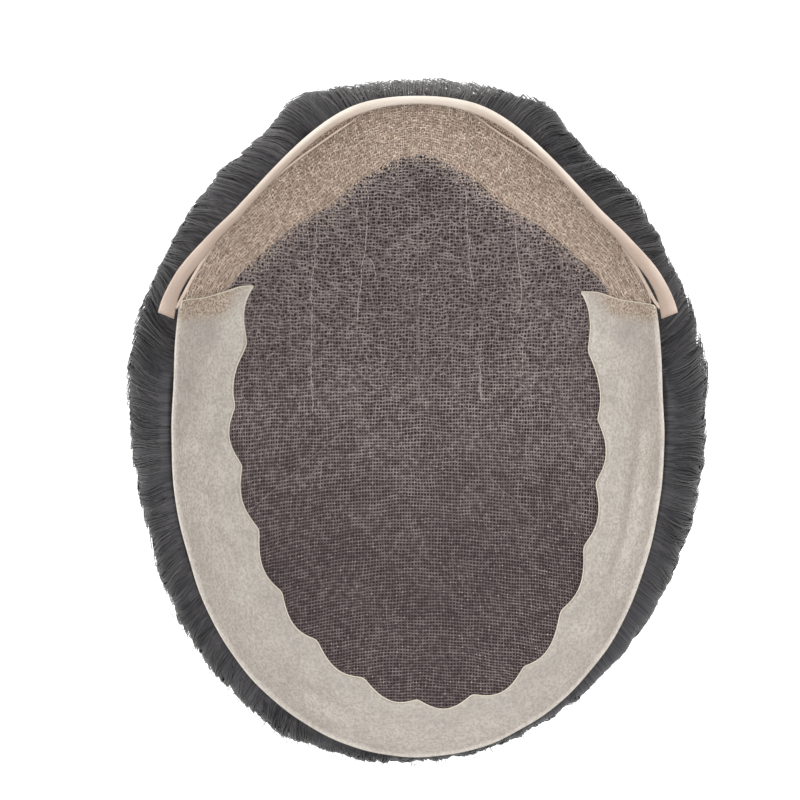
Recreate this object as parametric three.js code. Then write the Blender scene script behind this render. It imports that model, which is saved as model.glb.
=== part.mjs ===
// A men's toupee hairpiece, lying on its hair with the hollow side up.
// Millimetres, +Z up, +Y towards the front hairline, +X to the right as seen from above.
// The base is a shallow cap of three cloths: a fine mesh centre, a lace front with a turned hem,
// and a skin perimeter with a scalloped inner edge. The hair is knotted to the cap's outer side.
//
// Every piece is placed by two numbers. The turn runs round the cap in degrees, from the front
// over the right side to the back at 180. The share runs from 0 at the crown to 1 at the rim.
import * as THREE from "three";

// Cap
const halfWidth = 78;
const frontLength = 103;
const backLength = 107;
const capDepth = 50;
const rimSteepness = 75; // degrees of the elliptic arc that the wall has reached at the rim

// Walls, counted outwards from the cap's inner surface
const skinThickness = 1;
const clothThickness = 1;
const clearance = 0.4;
const seamGap = 0.45;

// Skin perimeter
const skinWidth = 20; // seen from above, at the sides
const scallopCount = 16;
const scallopDepth = 2.4;
const hornTurn = 58.5; // where the skin's pointed front end starts
const skinCornerTurn = 71.3; // where its front edge meets the rim
const skinFoldHeight = 1.3;
const leastBandWidth = 0.9;

// Lace front
const laceWidth = 20; // seen from above
const laceUnderSkin = 4.5;
const hemWidth = 3.4; // seen from above, in the middle of the front
const hemThickness = 1.6;
const earTurn = 72.6; // where the hem ends in a pointed ear
const earSpread = 9;

// Hair
const hairUnder = 14; // under the crown
const hairOverhang = 13; // past the rim, seen from above
const hairTopShare = 0.985;
const shoulderDrop = 0.72; // height of the rounded shoulder for each unit of overhang
const leastShoulder = 5;
const footShare = 0.44; // of the rim's reach, pressed flat where the hair lies
const lockCount = 40;
const lockHeight = 2;
const lockSwirl = 14; // degrees that a lock turns on its way to the foot
const lockSwing = 3; // degrees that it sways to each side of that way

// How far the cap's outline stands out of two half ellipses, the same on both sides
const outline = [
  { turn: 0, fullness: 1.0 },
  { turn: 19, fullness: 0.995 },
  { turn: 37, fullness: 0.977 },
  { turn: 48, fullness: 0.984 },
  { turn: 57, fullness: 1.018 },
  { turn: 66, fullness: 1.044 },
  { turn: 75, fullness: 1.036 },
  { turn: 83, fullness: 1.01 },
  { turn: 90, fullness: 1.0 },
  { turn: 110, fullness: 1.01 },
  { turn: 125, fullness: 1.021 },
  { turn: 140, fullness: 1.018 },
  { turn: 160, fullness: 1.005 },
  { turn: 180, fullness: 1.0 },
];

// Height of the rim above the crown, as a share of the cap's depth
const rimHeights = [
  { turn: 0, height: 0.86 },
  { turn: 35, height: 0.92 },
  { turn: 70, height: 1.0 },
  { turn: 110, height: 1.0 },
  { turn: 180, height: 0.94 },
];

// Width of the lace band, as a share of laceWidth, the same on both sides
const laceBand = [
  { turn: 0, width: 0.86 },
  { turn: 13, width: 1.0 },
  { turn: 27, width: 1.07 },
  { turn: 42, width: 0.84 },
  { turn: 53, width: 0.74 },
  { turn: 61, width: 0.68 },
  { turn: 75, width: 0.68 },
];

// The hem's width as a share of hemWidth, and how steeply it turns up, in degrees above level
const hemShape = [
  { turn: 0, width: 1.3, rise: 20 },
  { turn: 15, width: 1.42, rise: 22 },
  { turn: 25, width: 1.25, rise: 24 },
  { turn: 36, width: 1.1, rise: 28 },
  { turn: 46, width: 1.12, rise: 34 },
  { turn: 56, width: 1.3, rise: 38 },
  { turn: 65, width: 1.85, rise: 44 },
  { turn: 73, width: 2.45, rise: 48 },
];

// Width of the skin band at its scallops' points, as a share of skinWidth
const skinBand = [
  { turn: 58, width: 0.97 },
  { turn: 73, width: 1.14 },
  { turn: 90, width: 0.93 },
  { turn: 119, width: 0.92 },
  { turn: 135, width: 0.83 },
  { turn: 150, width: 0.68 },
  { turn: 165, width: 0.7 },
  { turn: 180, width: 0.77 },
  { turn: 196, width: 0.94 },
  { turn: 212, width: 1.06 },
  { turn: 227, width: 1.11 },
  { turn: 243, width: 1.12 },
  { turn: 259, width: 0.99 },
  { turn: 273, width: 0.91 },
  { turn: 288, width: 1.14 },
  { turn: 302, width: 0.92 },
];

// Soft folds pressed into the skin, standing up from the cap by a share of skinFoldHeight
const skinFolds = [
  { turn: 106, spread: 15, share: 0.925, width: 0.022, height: 1 },
  { turn: 204, spread: 8, share: 0.93, width: 0.02, height: 0.6 },
  { turn: 250, spread: 10, share: 0.9, width: 0.03, height: 0.4 },
];

// How far the hair stands out past the rim, as a share of hairOverhang
const hairReach = [
  { turn: 0, reach: 0.42 },
  { turn: 14, reach: 0.6 },
  { turn: 27, reach: 0.9 },
  { turn: 36, reach: 0.72 },
  { turn: 50, reach: 0.98 },
  { turn: 64, reach: 0.74 },
  { turn: 76, reach: 0.98 },
  { turn: 86, reach: 1.12 },
  { turn: 104, reach: 1.04 },
  { turn: 122, reach: 0.84 },
  { turn: 138, reach: 0.6 },
  { turn: 152, reach: 0.42 },
  { turn: 172, reach: 0.34 },
  { turn: 190, reach: 0.42 },
  { turn: 206, reach: 0.62 },
  { turn: 220, reach: 0.8 },
  { turn: 236, reach: 0.86 },
  { turn: 250, reach: 0.9 },
  { turn: 266, reach: 1.06 },
  { turn: 278, reach: 1.1 },
  { turn: 288, reach: 0.9 },
  { turn: 297, reach: 0.74 },
  { turn: 312, reach: 0.98 },
  { turn: 325, reach: 0.74 },
  { turn: 336, reach: 0.92 },
  { turn: 347, reach: 0.6 },
];

// Columns and rings of the facets
const frontColumns = 24;
const columnsPerScallop = 4;
const meshRings = 11;
const laceRings = 4;
const skinRings = 5;
const hemColumns = 36;
const columnsPerLock = 3;
const hairInnerRings = 10;
const shoulderAngles = [0, 24, 48, 70];
const flankAngles = [0, 12, 24, 36, 48, 60, 72, 82, 90];
const lockProfile = [0, 1, 0.6]; // across one lock, which laps over the next

const laceLevel = skinThickness + clearance;
const hairLevel = laceLevel + clothThickness + clearance;
const crownHeight = hairUnder + hairLevel;
const scallopStep = (360 - 2 * hornTurn) / scallopCount;
const columnStep = scallopStep / columnsPerScallop;
const radians = THREE.MathUtils.degToRad;

// The turns of the cap's columns, shared by its cloths so that their facets lie along each other
const frontTurns = Array.from(
  { length: frontColumns },
  (_, c) => hornTurn * ((2 * c) / frontColumns - 1),
);
const scallopTurns = Array.from(
  { length: scallopCount * columnsPerScallop },
  (_, c) => hornTurn + columnStep * c,
);

function fromFront(turn) {
  const once = ((turn % 360) + 360) % 360;
  return Math.min(once, 360 - once);
}

// The value of a table's column at a turn, on a smooth curve through its rows.
// A table that loops goes on from its last row to its first.
function tableValue(rows, column, turn, loops = false) {
  const count = rows.length;
  const row = (i) => {
    if (!loops) return rows[THREE.MathUtils.clamp(i, 0, count - 1)];
    const lap = Math.floor(i / count);
    const found = rows[i - lap * count];
    return { ...found, turn: found.turn + 360 * lap };
  };
  let i = loops ? -1 : 0;
  const last = loops ? count - 1 : count - 2;
  while (i < last && row(i + 1).turn <= turn) i++;
  const [before, a, b, after] = [row(i - 1), row(i), row(i + 1), row(i + 2)];
  const span = b.turn - a.turn;
  const at = THREE.MathUtils.clamp((turn - a.turn) / span, 0, 1);
  const slope = (from, to) =>
    (span * (to[column] - from[column])) / Math.max(to.turn - from.turn, span);
  const slopeA = before === a ? 0 : slope(before, b);
  const slopeB = after === b ? 0 : slope(a, after);
  const at2 = at * at;
  const at3 = at2 * at;
  return (
    a[column] * (2 * at3 - 3 * at2 + 1) +
    slopeA * (at3 - 2 * at2 + at) +
    b[column] * (3 * at2 - 2 * at3) +
    slopeB * (at3 - at2)
  );
}

// The rim's plan point at a turn, and its distance from the crown's axis
function rimPoint(turn) {
  const fullness = tableValue(outline, "fullness", fromFront(turn));
  const length = Math.cos(radians(turn)) > 0 ? frontLength : backLength;
  return new THREE.Vector2(
    halfWidth * fullness * Math.sin(radians(turn)),
    length * fullness * Math.cos(radians(turn)),
  );
}

const rimReach = (turn) => rimPoint(turn).length();

// A point of the cap's inner surface. The wall is an elliptic arc, and goes on straight past the rim.
function capPoint(turn, share) {
  const rim = rimPoint(turn).multiplyScalar(share);
  const steep = radians(rimSteepness);
  const rise = capDepth * tableValue(rimHeights, "height", fromFront(turn));
  const angle = Math.asin(Math.min(share, 1) * Math.sin(steep));
  const height = rise * ((1 - Math.cos(angle)) / (1 - Math.cos(steep)));
  const past = Math.max(share - 1, 0) * rimReach(turn);
  return new THREE.Vector3(rim.x, rim.y, crownHeight + height + past);
}

// The direction out of the cap, away from its hollow
function capOutward(turn, share) {
  if (share < 1e-3) return new THREE.Vector3(0, 0, -1);
  const turnStep = 0.2;
  const shareStep = 0.002;
  const inside = Math.min(share, 1) - shareStep;
  const along = capPoint(turn + turnStep, share).sub(
    capPoint(turn - turnStep, share),
  );
  const out = capPoint(turn, inside + shareStep).sub(capPoint(turn, inside));
  return out.cross(along).normalize();
}

// A point at a depth outwards from the cap's inner surface
function wallPoint(turn, share, depth) {
  return capPoint(turn, share).addScaledVector(capOutward(turn, share), depth);
}

// A width seen from above, as a share at that turn
const asShare = (width, turn) => width / rimReach(turn);

// The share at which the skin's front edge, and 4.5 mm behind it the lace's end, meet a turn
const frontSlope = (turn) =>
  asShare(skinWidth, hornTurn) / (skinCornerTurn - hornTurn);

function skinFrontShare(turn) {
  const before = skinCornerTurn - fromFront(turn);
  return before > 0 ? 1 - before * frontSlope(turn) : 1;
}

function laceEndShare(turn) {
  const arc = (rimReach(skinCornerTurn) * Math.PI) / 180;
  const before = skinCornerTurn + laceUnderSkin / arc - fromFront(turn);
  return before > 0 ? 1 - before * frontSlope(turn) : 1;
}

function laceInnerShare(turn) {
  const width = laceWidth * tableValue(laceBand, "width", fromFront(turn));
  return Math.max(1 - asShare(width, turn), laceEndShare(turn));
}

const hemInnerShare = (turn) => 1 - asShare(hemWidth + laceLevel, turn);

// From 0 under the hem's ears to 1 behind them
function behindEar(turn) {
  const behind = fromFront(turn) - earTurn - columnStep;
  return THREE.MathUtils.smoothstep(behind / earSpread, 0, 1);
}

// The mesh stops at the lace, below the hem's ears, and just short of the rim elsewhere.
function meshOuterShare(turn) {
  const seam = asShare(seamGap, turn);
  const top = THREE.MathUtils.lerp(
    hemInnerShare(turn) - seam,
    1 - 2 * seam,
    behindEar(turn),
  );
  return Math.min(top, laceInnerShare(turn) - seam);
}

function skinInnerShare(turn) {
  const width = skinWidth * tableValue(skinBand, "width", turn);
  const scallop = (turn - hornTurn) / scallopStep;
  const bulge = scallopDepth * Math.abs(Math.sin(Math.PI * scallop));
  return 1 - asShare(width - bulge, turn);
}

function skinFoldRise(turn, share) {
  return skinFolds.reduce((sum, fold) => {
    const across = (share - fold.share) / fold.width;
    const along = (turn - fold.turn) / fold.spread;
    return sum + skinFoldHeight * fold.height * Math.exp(-across * across - along * along);
  }, 0);
}

function geometryFrom(points, faces) {
  const geometry = new THREE.BufferGeometry().setFromPoints(points);
  geometry.setIndex(faces);
  geometry.computeVertexNormals();
  return geometry;
}

// A solid lofted through sections, each the same number of points round a thin strip.
// Its two ends are closed by joining each point to the one across the strip.
function loftStrip(sections) {
  const count = sections[0].length;
  const faces = [];
  const index = (section, point) => section * count + (point % count);
  for (let s = 0; s < sections.length - 1; s++) {
    for (let p = 0; p < count; p++) {
      const [a, b] = [index(s, p), index(s, p + 1)];
      const [c, d] = [index(s + 1, p + 1), index(s + 1, p)];
      faces.push(a, c, b, a, d, c);
    }
  }
  const last = sections.length - 1;
  for (let p = 0; p < count / 2 - 1; p++) {
    const across = count - 1 - p;
    faces.push(index(0, p), index(0, across - 1), index(0, across));
    faces.push(index(0, p), index(0, p + 1), index(0, across - 1));
    faces.push(index(last, p), index(last, across), index(last, across - 1));
    faces.push(index(last, p), index(last, across - 1), index(last, p + 1));
  }
  return geometryFrom(sections.flat(), faces);
}

// A solid made of a stack of rings between two poles, in order from the first pole to the last
function stackRings(firstPole, rings, lastPole) {
  const count = rings[0].length;
  const points = [firstPole, ...rings.flat(), lastPole];
  const faces = [];
  const index = (ring, column) => 1 + ring * count + (column % count);
  for (let c = 0; c < count; c++) {
    faces.push(0, index(0, c + 1), index(0, c));
    faces.push(points.length - 1, index(rings.length - 1, c));
    faces.push(index(rings.length - 1, c + 1));
    for (let r = 0; r < rings.length - 1; r++) {
      const [a, b] = [index(r, c), index(r, c + 1)];
      const [d, e] = [index(r + 1, c), index(r + 1, c + 1)];
      faces.push(a, b, e, a, e, d);
    }
  }
  return geometryFrom(points, faces);
}

// One section of a cloth band at a turn, from its lower share to its upper one and back
function bandSection(turn, lower, upper, rings, nearDepth, thickness, rise) {
  const near = [];
  const far = [];
  for (let r = 0; r <= rings; r++) {
    const share = THREE.MathUtils.lerp(lower, upper, r / rings);
    const depth = nearDepth - rise(turn, share);
    near.push(wallPoint(turn, share, depth));
    far.unshift(wallPoint(turn, share, depth + thickness));
  }
  return [...near, ...far];
}

const flat = () => 0;

function skinGeometry() {
  // The band starts where it is wide enough to hold its own thickness.
  const widthAt = (turn) =>
    (skinFrontShare(turn) - skinInnerShare(turn)) * rimReach(turn);
  const wide = scallopTurns.filter((turn) => widthAt(turn) > leastBandWidth);
  return loftStrip(
    wide.map((turn) =>
      bandSection(
        turn,
        skinInnerShare(turn),
        skinFrontShare(turn),
        skinRings,
        0,
        skinThickness,
        skinFoldRise,
      ),
    ),
  );
}

function laceGeometry() {
  const widthAt = (turn) =>
    (hemInnerShare(turn) - laceInnerShare(turn)) * rimReach(turn) - seamGap;
  let endTurn = skinCornerTurn + laceUnderSkin;
  while (widthAt(endTurn) < leastBandWidth) endTurn -= 0.25;
  const sideTurns = scallopTurns.filter((turn) => turn < endTurn - 1);
  const turns = [
    -endTurn,
    ...sideTurns.map((turn) => -turn).reverse(),
    ...frontTurns.slice(1),
    ...sideTurns,
    endTurn,
  ];
  return loftStrip(
    turns.map((turn) => {
      const upper = hemInnerShare(turn) - asShare(seamGap, turn);
      return bandSection(
        turn,
        laceInnerShare(turn),
        upper,
        laceRings,
        laceLevel,
        clothThickness,
        flat,
      );
    }),
  );
}

// The hem is folded outwards from the lace's edge, and widens to a pointed ear at each end.
function hemGeometry() {
  const section = [
    { across: 0, height: 0 },
    { across: 0.12, height: 0.6 },
    { across: 0.5, height: 0.9 },
    { across: 0.82, height: 1 },
    { across: 1, height: 0.7 },
    { across: 1, height: 0.2 },
    { across: 0.82, height: 0 },
    { across: 0.5, height: 0 },
  ];
  const sections = [];
  for (let c = 0; c <= hemColumns; c++) {
    const turn = earTurn * ((2 * c) / hemColumns - 1);
    const width = hemWidth * tableValue(hemShape, "width", fromFront(turn));
    const rise = radians(tableValue(hemShape, "rise", fromFront(turn)));
    const base = wallPoint(turn, hemInnerShare(turn), laceLevel);
    const plan = rimPoint(turn).normalize();
    sections.push(
      section.map(({ across, height }) => {
        const out = across * width;
        const up = out * Math.tan(rise) + height * hemThickness;
        return new THREE.Vector3(plan.x * out, plan.y * out, up).add(base);
      }),
    );
  }
  return loftStrip(sections);
}

function meshGeometry() {
  const turns = [...frontTurns, ...scallopTurns];
  const ring = (share, depth) =>
    turns.map((turn) => wallPoint(turn, share * meshOuterShare(turn), depth));
  const steep = radians(rimSteepness);
  const rings = [];
  for (const side of [1, -1]) {
    for (let r = 1; r <= meshRings; r++) {
      const step = side > 0 ? r : meshRings + 1 - r;
      const share = Math.sin((steep * step) / meshRings) / Math.sin(steep);
      rings.push(ring(share, side > 0 ? laceLevel : laceLevel + clothThickness));
    }
  }
  return stackRings(
    wallPoint(0, 0, laceLevel),
    rings,
    wallPoint(0, 0, laceLevel + clothThickness),
  );
}

// Where the hair's edge lies against the cap: under the hem in front, just under the rim elsewhere
function hairTop(turn) {
  const underHem = hemInnerShare(turn) - asShare(seamGap, turn);
  return THREE.MathUtils.lerp(underHem, hairTopShare, behindEar(turn));
}

// The hair's outer section at a turn: a rounded shoulder out of the rim, then a flank down to the foot.
// Angles over 90 belong to the flank.
function hairSection(turn, angle) {
  const top = wallPoint(turn, hairTop(turn), hairLevel);
  const overhang = hairOverhang * tableValue(hairReach, "reach", turn, true);
  const start = Math.hypot(top.x, top.y);
  const widest = rimReach(turn) + overhang;
  const shoulder = Math.max(leastShoulder, shoulderDrop * overhang);
  if (angle <= 90) {
    const a = radians(angle);
    return {
      reach: start + (widest - start) * Math.sin(a),
      height: top.z - shoulder * (1 - Math.cos(a)),
      outward: new THREE.Vector2(Math.sin(a), Math.cos(a)),
    };
  }
  const b = radians(angle - 90);
  const foot = footShare * rimReach(turn);
  return {
    reach: foot + (widest - foot) * Math.cos(b),
    height: (top.z - shoulder) * (1 - Math.sin(b)),
    outward: new THREE.Vector2(Math.cos(b), -Math.sin(b)),
  };
}

function hairGeometry() {
  const columns = lockCount * columnsPerLock;
  const inner = [];
  for (let r = 1; r <= hairInnerRings; r++) {
    const steep = radians(rimSteepness);
    const share = Math.sin((steep * r) / hairInnerRings) / Math.sin(steep);
    inner.push(
      Array.from({ length: columns }, (_, c) => {
        const turn = (360 * c) / columns;
        return wallPoint(turn, share * hairTop(turn), hairLevel);
      }),
    );
  }
  const angles = [...shoulderAngles.slice(1), ...flankAngles.map((a) => a + 90)];
  const outer = angles.map((angle) => {
    // Locks rise from the rim, lie flat at the foot, and turn and sway as they run down.
    const down = Math.max(angle - 90, 0) / 90;
    const lift = Math.min(angle / 70, 1) * (1 - down ** 4);
    const sway = lockSwirl * down + lockSwing * Math.sin(2 * Math.PI * down);
    return Array.from({ length: columns }, (_, c) => {
      const turn = (360 * c) / columns + sway;
      const { reach, height, outward } = hairSection(turn, angle);
      const full = 0.7 + 0.3 * Math.sin(2.4 * Math.floor(c / columnsPerLock));
      const ridge = lockProfile[c % columnsPerLock] - 0.5;
      const lock = lockHeight * lift * full * ridge;
      const plan = rimPoint(turn)
        .normalize()
        .multiplyScalar(reach + lock * outward.x);
      const z = Math.max(height + lock * outward.y, 0);
      return new THREE.Vector3(plan.x, plan.y, z);
    });
  });
  return stackRings(
    wallPoint(0, 0, hairLevel),
    [...inner, ...outer],
    new THREE.Vector3(0, 0, 0),
  );
}

function named(name, geometry, colour, roughness) {
  const material = new THREE.MeshStandardMaterial({
    color: colour,
    roughness,
    metalness: 0,
  });
  const mesh = new THREE.Mesh(geometry, material);
  mesh.name = name;
  return mesh;
}

const hairpiece = new THREE.Group();
hairpiece.add(
  named("mesh_center", meshGeometry(), 0x675d5c, 0.9),
  named("lace_front", laceGeometry(), 0xa48f81, 0.9),
  named("lace_hem", hemGeometry(), 0xd8c6b8, 0.8),
  named("skin_perimeter", skinGeometry(), 0xb8b2a8, 0.45),
  named("hair", hairGeometry(), 0x3f3d40, 0.5),
);

// The origin is on the surface that the hair lies on, under the middle of the whole piece.
const box = new THREE.Box3().setFromObject(hairpiece);
const middle = box.getCenter(new THREE.Vector3());
hairpiece.position.set(-middle.x, -middle.y, -box.min.z);

export default hairpiece;
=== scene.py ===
# %% [markdown]
# # A toupee hairpiece, lying on its hair
#
# The hairpiece lies with its hollow side up. What shows is the inside of the base: a dark fine net
# over the crown, a tan lace front with a folded hem, and a translucent skin band with a scalloped
# edge. The hair is knotted to the other side, and spreads past the rim before it bends down.
#
# The solid model is loaded first. Every cloth and strand below is made in its frame, in metres.

# %% Load the frame
import math

import bpy
import numpy as np
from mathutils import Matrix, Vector


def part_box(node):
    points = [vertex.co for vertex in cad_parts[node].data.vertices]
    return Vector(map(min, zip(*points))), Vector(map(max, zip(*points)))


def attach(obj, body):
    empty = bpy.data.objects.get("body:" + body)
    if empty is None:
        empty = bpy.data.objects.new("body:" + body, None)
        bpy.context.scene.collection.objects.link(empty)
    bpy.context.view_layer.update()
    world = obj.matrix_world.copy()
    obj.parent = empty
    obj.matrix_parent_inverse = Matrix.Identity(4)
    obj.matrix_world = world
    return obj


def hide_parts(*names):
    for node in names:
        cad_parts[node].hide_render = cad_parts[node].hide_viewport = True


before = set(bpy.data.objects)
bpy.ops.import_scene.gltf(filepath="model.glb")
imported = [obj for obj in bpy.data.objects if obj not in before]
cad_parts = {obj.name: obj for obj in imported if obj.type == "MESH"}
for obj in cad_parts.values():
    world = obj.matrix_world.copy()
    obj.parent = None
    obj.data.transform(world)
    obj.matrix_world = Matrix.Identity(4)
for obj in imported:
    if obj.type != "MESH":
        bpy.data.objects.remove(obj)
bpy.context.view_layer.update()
mm = 0.001
bpy.ops.object.select_all(action="DESELECT")
print("nodes", sorted(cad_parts))

# %% [markdown]
# ## Camera
#
# The photograph looks straight down into the hollow, front hairline at the top. The camera stands
# 0.8 m above the rim, and its angle takes in 254 mm there. The hairpiece sits a little right of the
# frame's middle, so the camera's foot point is a few millimetres to the left and to the front.

# %% Camera
camera_distance = 0.8
view_width = 254 * mm
rim_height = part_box("skin_perimeter")[1].z
camera_place = Vector((-5.7 * mm, 7.8 * mm, rim_height + camera_distance))

bpy.ops.object.camera_add(location=camera_place, rotation=(0, 0, 0))
camera = bpy.context.object
camera.data.angle = 2 * math.atan(view_width / 2 / camera_distance)
camera.data.clip_start = 0.05
bpy.context.scene.camera = camera
print("camera angle", round(math.degrees(camera.data.angle), 2))

# %% [markdown]
# ## The shape of the cap
#
# All the cloths follow one moulded surface. A place on it has two numbers: the turn runs round the
# cap in degrees from the front over the right side, and the share runs from 0 at the crown to 1 at
# the rim. A depth then goes out through the cloths towards the hair. The sizes are the solid
# model's, so that each piece lies where its solid does.

# %% Curves through short tables
def curve_through(rows, loops=False):
    """A function that follows a smooth curve through rows of (turn, value)."""
    turns = np.array([row[0] for row in rows], float)
    values = np.array([row[1] for row in rows], float)
    if loops:
        turns = np.concatenate([turns[-2:] - 360, turns, turns[:2] + 360])
        values = np.concatenate([values[-2:], values, values[:2]])
    span = np.diff(turns)
    slopes = np.zeros(len(turns))
    slopes[1:-1] = (values[2:] - values[:-2]) / (turns[2:] - turns[:-2])

    def value(turn):
        at = np.mod(turn, 360) if loops else np.clip(turn, turns[0], turns[-1])
        i = np.clip(np.searchsorted(turns, at, side="right") - 1, 0, len(span) - 1)
        t = (at - turns[i]) / span[i]
        return (
            values[i] * (2 * t**3 - 3 * t**2 + 1)
            + slopes[i] * span[i] * (t**3 - 2 * t**2 + t)
            + values[i + 1] * (3 * t**2 - 2 * t**3)
            + slopes[i + 1] * span[i] * (t**3 - t**2)
        )

    return value


def smooth_step(x):
    t = np.clip(x, 0, 1)
    return t * t * (3 - 2 * t)


# %% Sizes of the cap
half_width = 78 * mm
front_length = 103 * mm
back_length = 107 * mm
cap_depth = 50 * mm
rim_steepness = math.radians(75)
skin_thickness = 1 * mm
cloth_thickness = 1 * mm
clearance = 0.4 * mm
seam_gap = 0.45 * mm
hair_under = 14 * mm
lace_level = skin_thickness + clearance
hair_level = lace_level + cloth_thickness + clearance
crown_height = hair_under + hair_level

# The rim's distance from the crown, as a share of an oval's, and its height as a share of the depth
outline = curve_through([
    (0, 1.0), (19, 0.995), (37, 0.977), (48, 0.984), (57, 1.018), (66, 1.044), (75, 1.036),
    (83, 1.01), (90, 1.0), (110, 1.01), (125, 1.021), (140, 1.018), (160, 1.005), (180, 1.0),
])
rim_rise = curve_through([(0, 0.86), (35, 0.92), (70, 1.0), (110, 1.0), (180, 0.94)])


# %% Places on the cap
def from_front(turn):
    once = np.mod(turn, 360)
    return np.minimum(once, 360 - once)


def rim_point(turn):
    length = np.where(np.cos(np.radians(turn)) > 0, front_length, back_length)
    fullness = outline(from_front(turn))
    across = half_width * fullness * np.sin(np.radians(turn))
    along = length * fullness * np.cos(np.radians(turn))
    return np.stack([across, along], -1)


def rim_reach(turn):
    return np.linalg.norm(rim_point(turn), axis=-1)


def cap_point(turn, share):
    rim = rim_point(turn) * share[..., None]
    angle = np.arcsin(np.minimum(share, 1) * math.sin(rim_steepness))
    rise = cap_depth * rim_rise(from_front(turn))
    height = rise * (1 - np.cos(angle)) / (1 - math.cos(rim_steepness))
    past = np.maximum(share - 1, 0) * rim_reach(turn)
    return np.concatenate([rim, (crown_height + height + past)[..., None]], -1)


def unit(vectors):
    return vectors / np.maximum(np.linalg.norm(vectors, axis=-1, keepdims=True), 1e-12)


def cap_outward(turn, share):
    turn_step, share_step = 0.2, 0.002
    inside = np.minimum(share, 1) - share_step
    along = cap_point(turn + turn_step, share) - cap_point(turn - turn_step, share)
    out = cap_point(turn, inside + share_step) - cap_point(turn, inside)
    normal = unit(np.cross(out, along))
    return np.where((share < 1e-3)[..., None], np.array([0, 0, -1.0]), normal)


cap_place = np.zeros(3)


def wall(turn, share, depth):
    """The point at a depth out of the cap's inner surface, in the frame."""
    turn, share, depth = np.broadcast_arrays(
        np.asarray(turn, float), np.asarray(share, float), np.asarray(depth, float)
    )
    out = cap_outward(turn, share) * depth[..., None]
    return cap_point(turn, share) + out + cap_place


low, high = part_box("skin_perimeter")
cap_place = np.array([(low.x + high.x) / 2, low.y - wall(180, 1, skin_thickness)[1], 0])
print("the cap's axis stands at", np.round(cap_place / mm, 2), "mm")

# %% [markdown]
# ## Where the cloths begin and end
#
# Each edge of a cloth is a share that changes with the turn. The lace band, the skin band and the
# hem have their widths in short tables, as they are seen from above.

# %% Edges of the cloths
skin_width = 20 * mm
scallop_count = 16
scallop_depth = 2.4 * mm
horn_turn = 58.5
skin_corner_turn = 71.3
lace_width = 20 * mm
lace_under_skin = 4.5 * mm
hem_width = 3.4 * mm
ear_turn = 72.6
ear_spread = 9
scallop_step = (360 - 2 * horn_turn) / scallop_count

lace_band = curve_through([
    (0, 0.86), (13, 1.0), (27, 1.07), (42, 0.84), (53, 0.74), (61, 0.68), (75, 0.68),
])
skin_band = curve_through([
    (58, 0.97), (73, 1.14), (90, 0.93), (119, 0.92), (135, 0.83), (150, 0.68), (165, 0.7),
    (180, 0.77), (196, 0.94), (212, 1.06), (227, 1.11), (243, 1.12), (259, 0.99),
    (273, 0.91), (288, 1.14), (302, 0.92),
])
front_slope = skin_width / rim_reach(horn_turn) / (skin_corner_turn - horn_turn)

# How far the skin's outer edge draws in behind the ears, in millimetres
skin_inset = curve_through([
    (66, 0.2), (70, 1.2), (76, 1.5), (83, 1.0), (92, 0.3), (105, 0.0),
])

# The share at which the skin's front edge lies, on the right and on the left
right_front = curve_through([
    (58.4, 0.772), (62.2, 0.83), (65.3, 0.874), (67.6, 0.925), (70.2, 0.99), (72, 1.0),
])
left_front = curve_through([
    (57.3, 0.785), (60.5, 0.828), (63.5, 0.866), (66.7, 0.922), (69.1, 0.985), (71, 1.0),
])


def skin_front_share(turn):
    around = from_front(turn)
    front = np.where(np.mod(turn, 360) < 180, right_front(around), left_front(around))
    return np.minimum(front, 1 - skin_inset(around) * mm / rim_reach(turn))


def lace_end_share(turn):
    arc = rim_reach(skin_corner_turn) * math.pi / 180
    before = np.maximum(skin_corner_turn + lace_under_skin / arc - from_front(turn), 0)
    return 1 - before * front_slope


def lace_inner_share(turn):
    width = lace_width * lace_band(from_front(turn))
    return np.maximum(1 - width / rim_reach(turn), lace_end_share(turn))


def hem_inner_share(turn):
    return 1 - (hem_width + lace_level) / rim_reach(turn)


# How many degrees the scallops' points are shifted, and how deep the scallops are
scallop_shift = curve_through([
    (58, 0), (73, -0.7), (90, 1.0), (119, 0), (180, 0), (196, 0.8), (212, 1.5), (227, 1.5),
    (243, 2.2), (259, 3.0), (273, 2.0), (288, 2.6), (302, 0),
])
scallop_fullness = curve_through([
    (58, 0.3), (66, 0.35), (80, 0.8), (100, 1.0), (260, 1.0), (278, 0.8), (294, 0.4), (302, 0.3),
])


def skin_inner_share(turn):
    phase = math.pi * (turn - scallop_shift(turn) - horn_turn) / scallop_step
    rounded = np.sqrt(np.sin(phase) ** 2 + 0.02) - math.sqrt(0.02)
    bulge = 1.12 * rounded * scallop_depth * scallop_fullness(turn)
    return 1 - (skin_width * skin_band(turn) - bulge) / rim_reach(turn)


def behind_ear(turn):
    return smooth_step((from_front(turn) - ear_turn - scallop_step / 4) / ear_spread)


# %% [markdown]
# ## Helpers for modelling
#
# A cloth starts as a flat grid primitive. Its points are then laid on the cap by their place in the
# grid, as a cut cloth is laid on a block, and a Solidify modifier gives the cloth its thickness.
# Threads and strands repeat thousands of times, so they are made as joined three-sided tubes.

# %% Cloth from a grid
def triangle_count(piece):
    return sum(len(polygon.vertices) - 2 for polygon in piece.data.polygons)


def change_mesh(operator, **options):
    """Runs one of Blender's mesh operators on all of the active piece."""
    bpy.ops.object.mode_set(mode="EDIT")
    bpy.ops.mesh.select_all(action="SELECT")
    operator(**options)
    bpy.ops.object.mode_set(mode="OBJECT")


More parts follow.
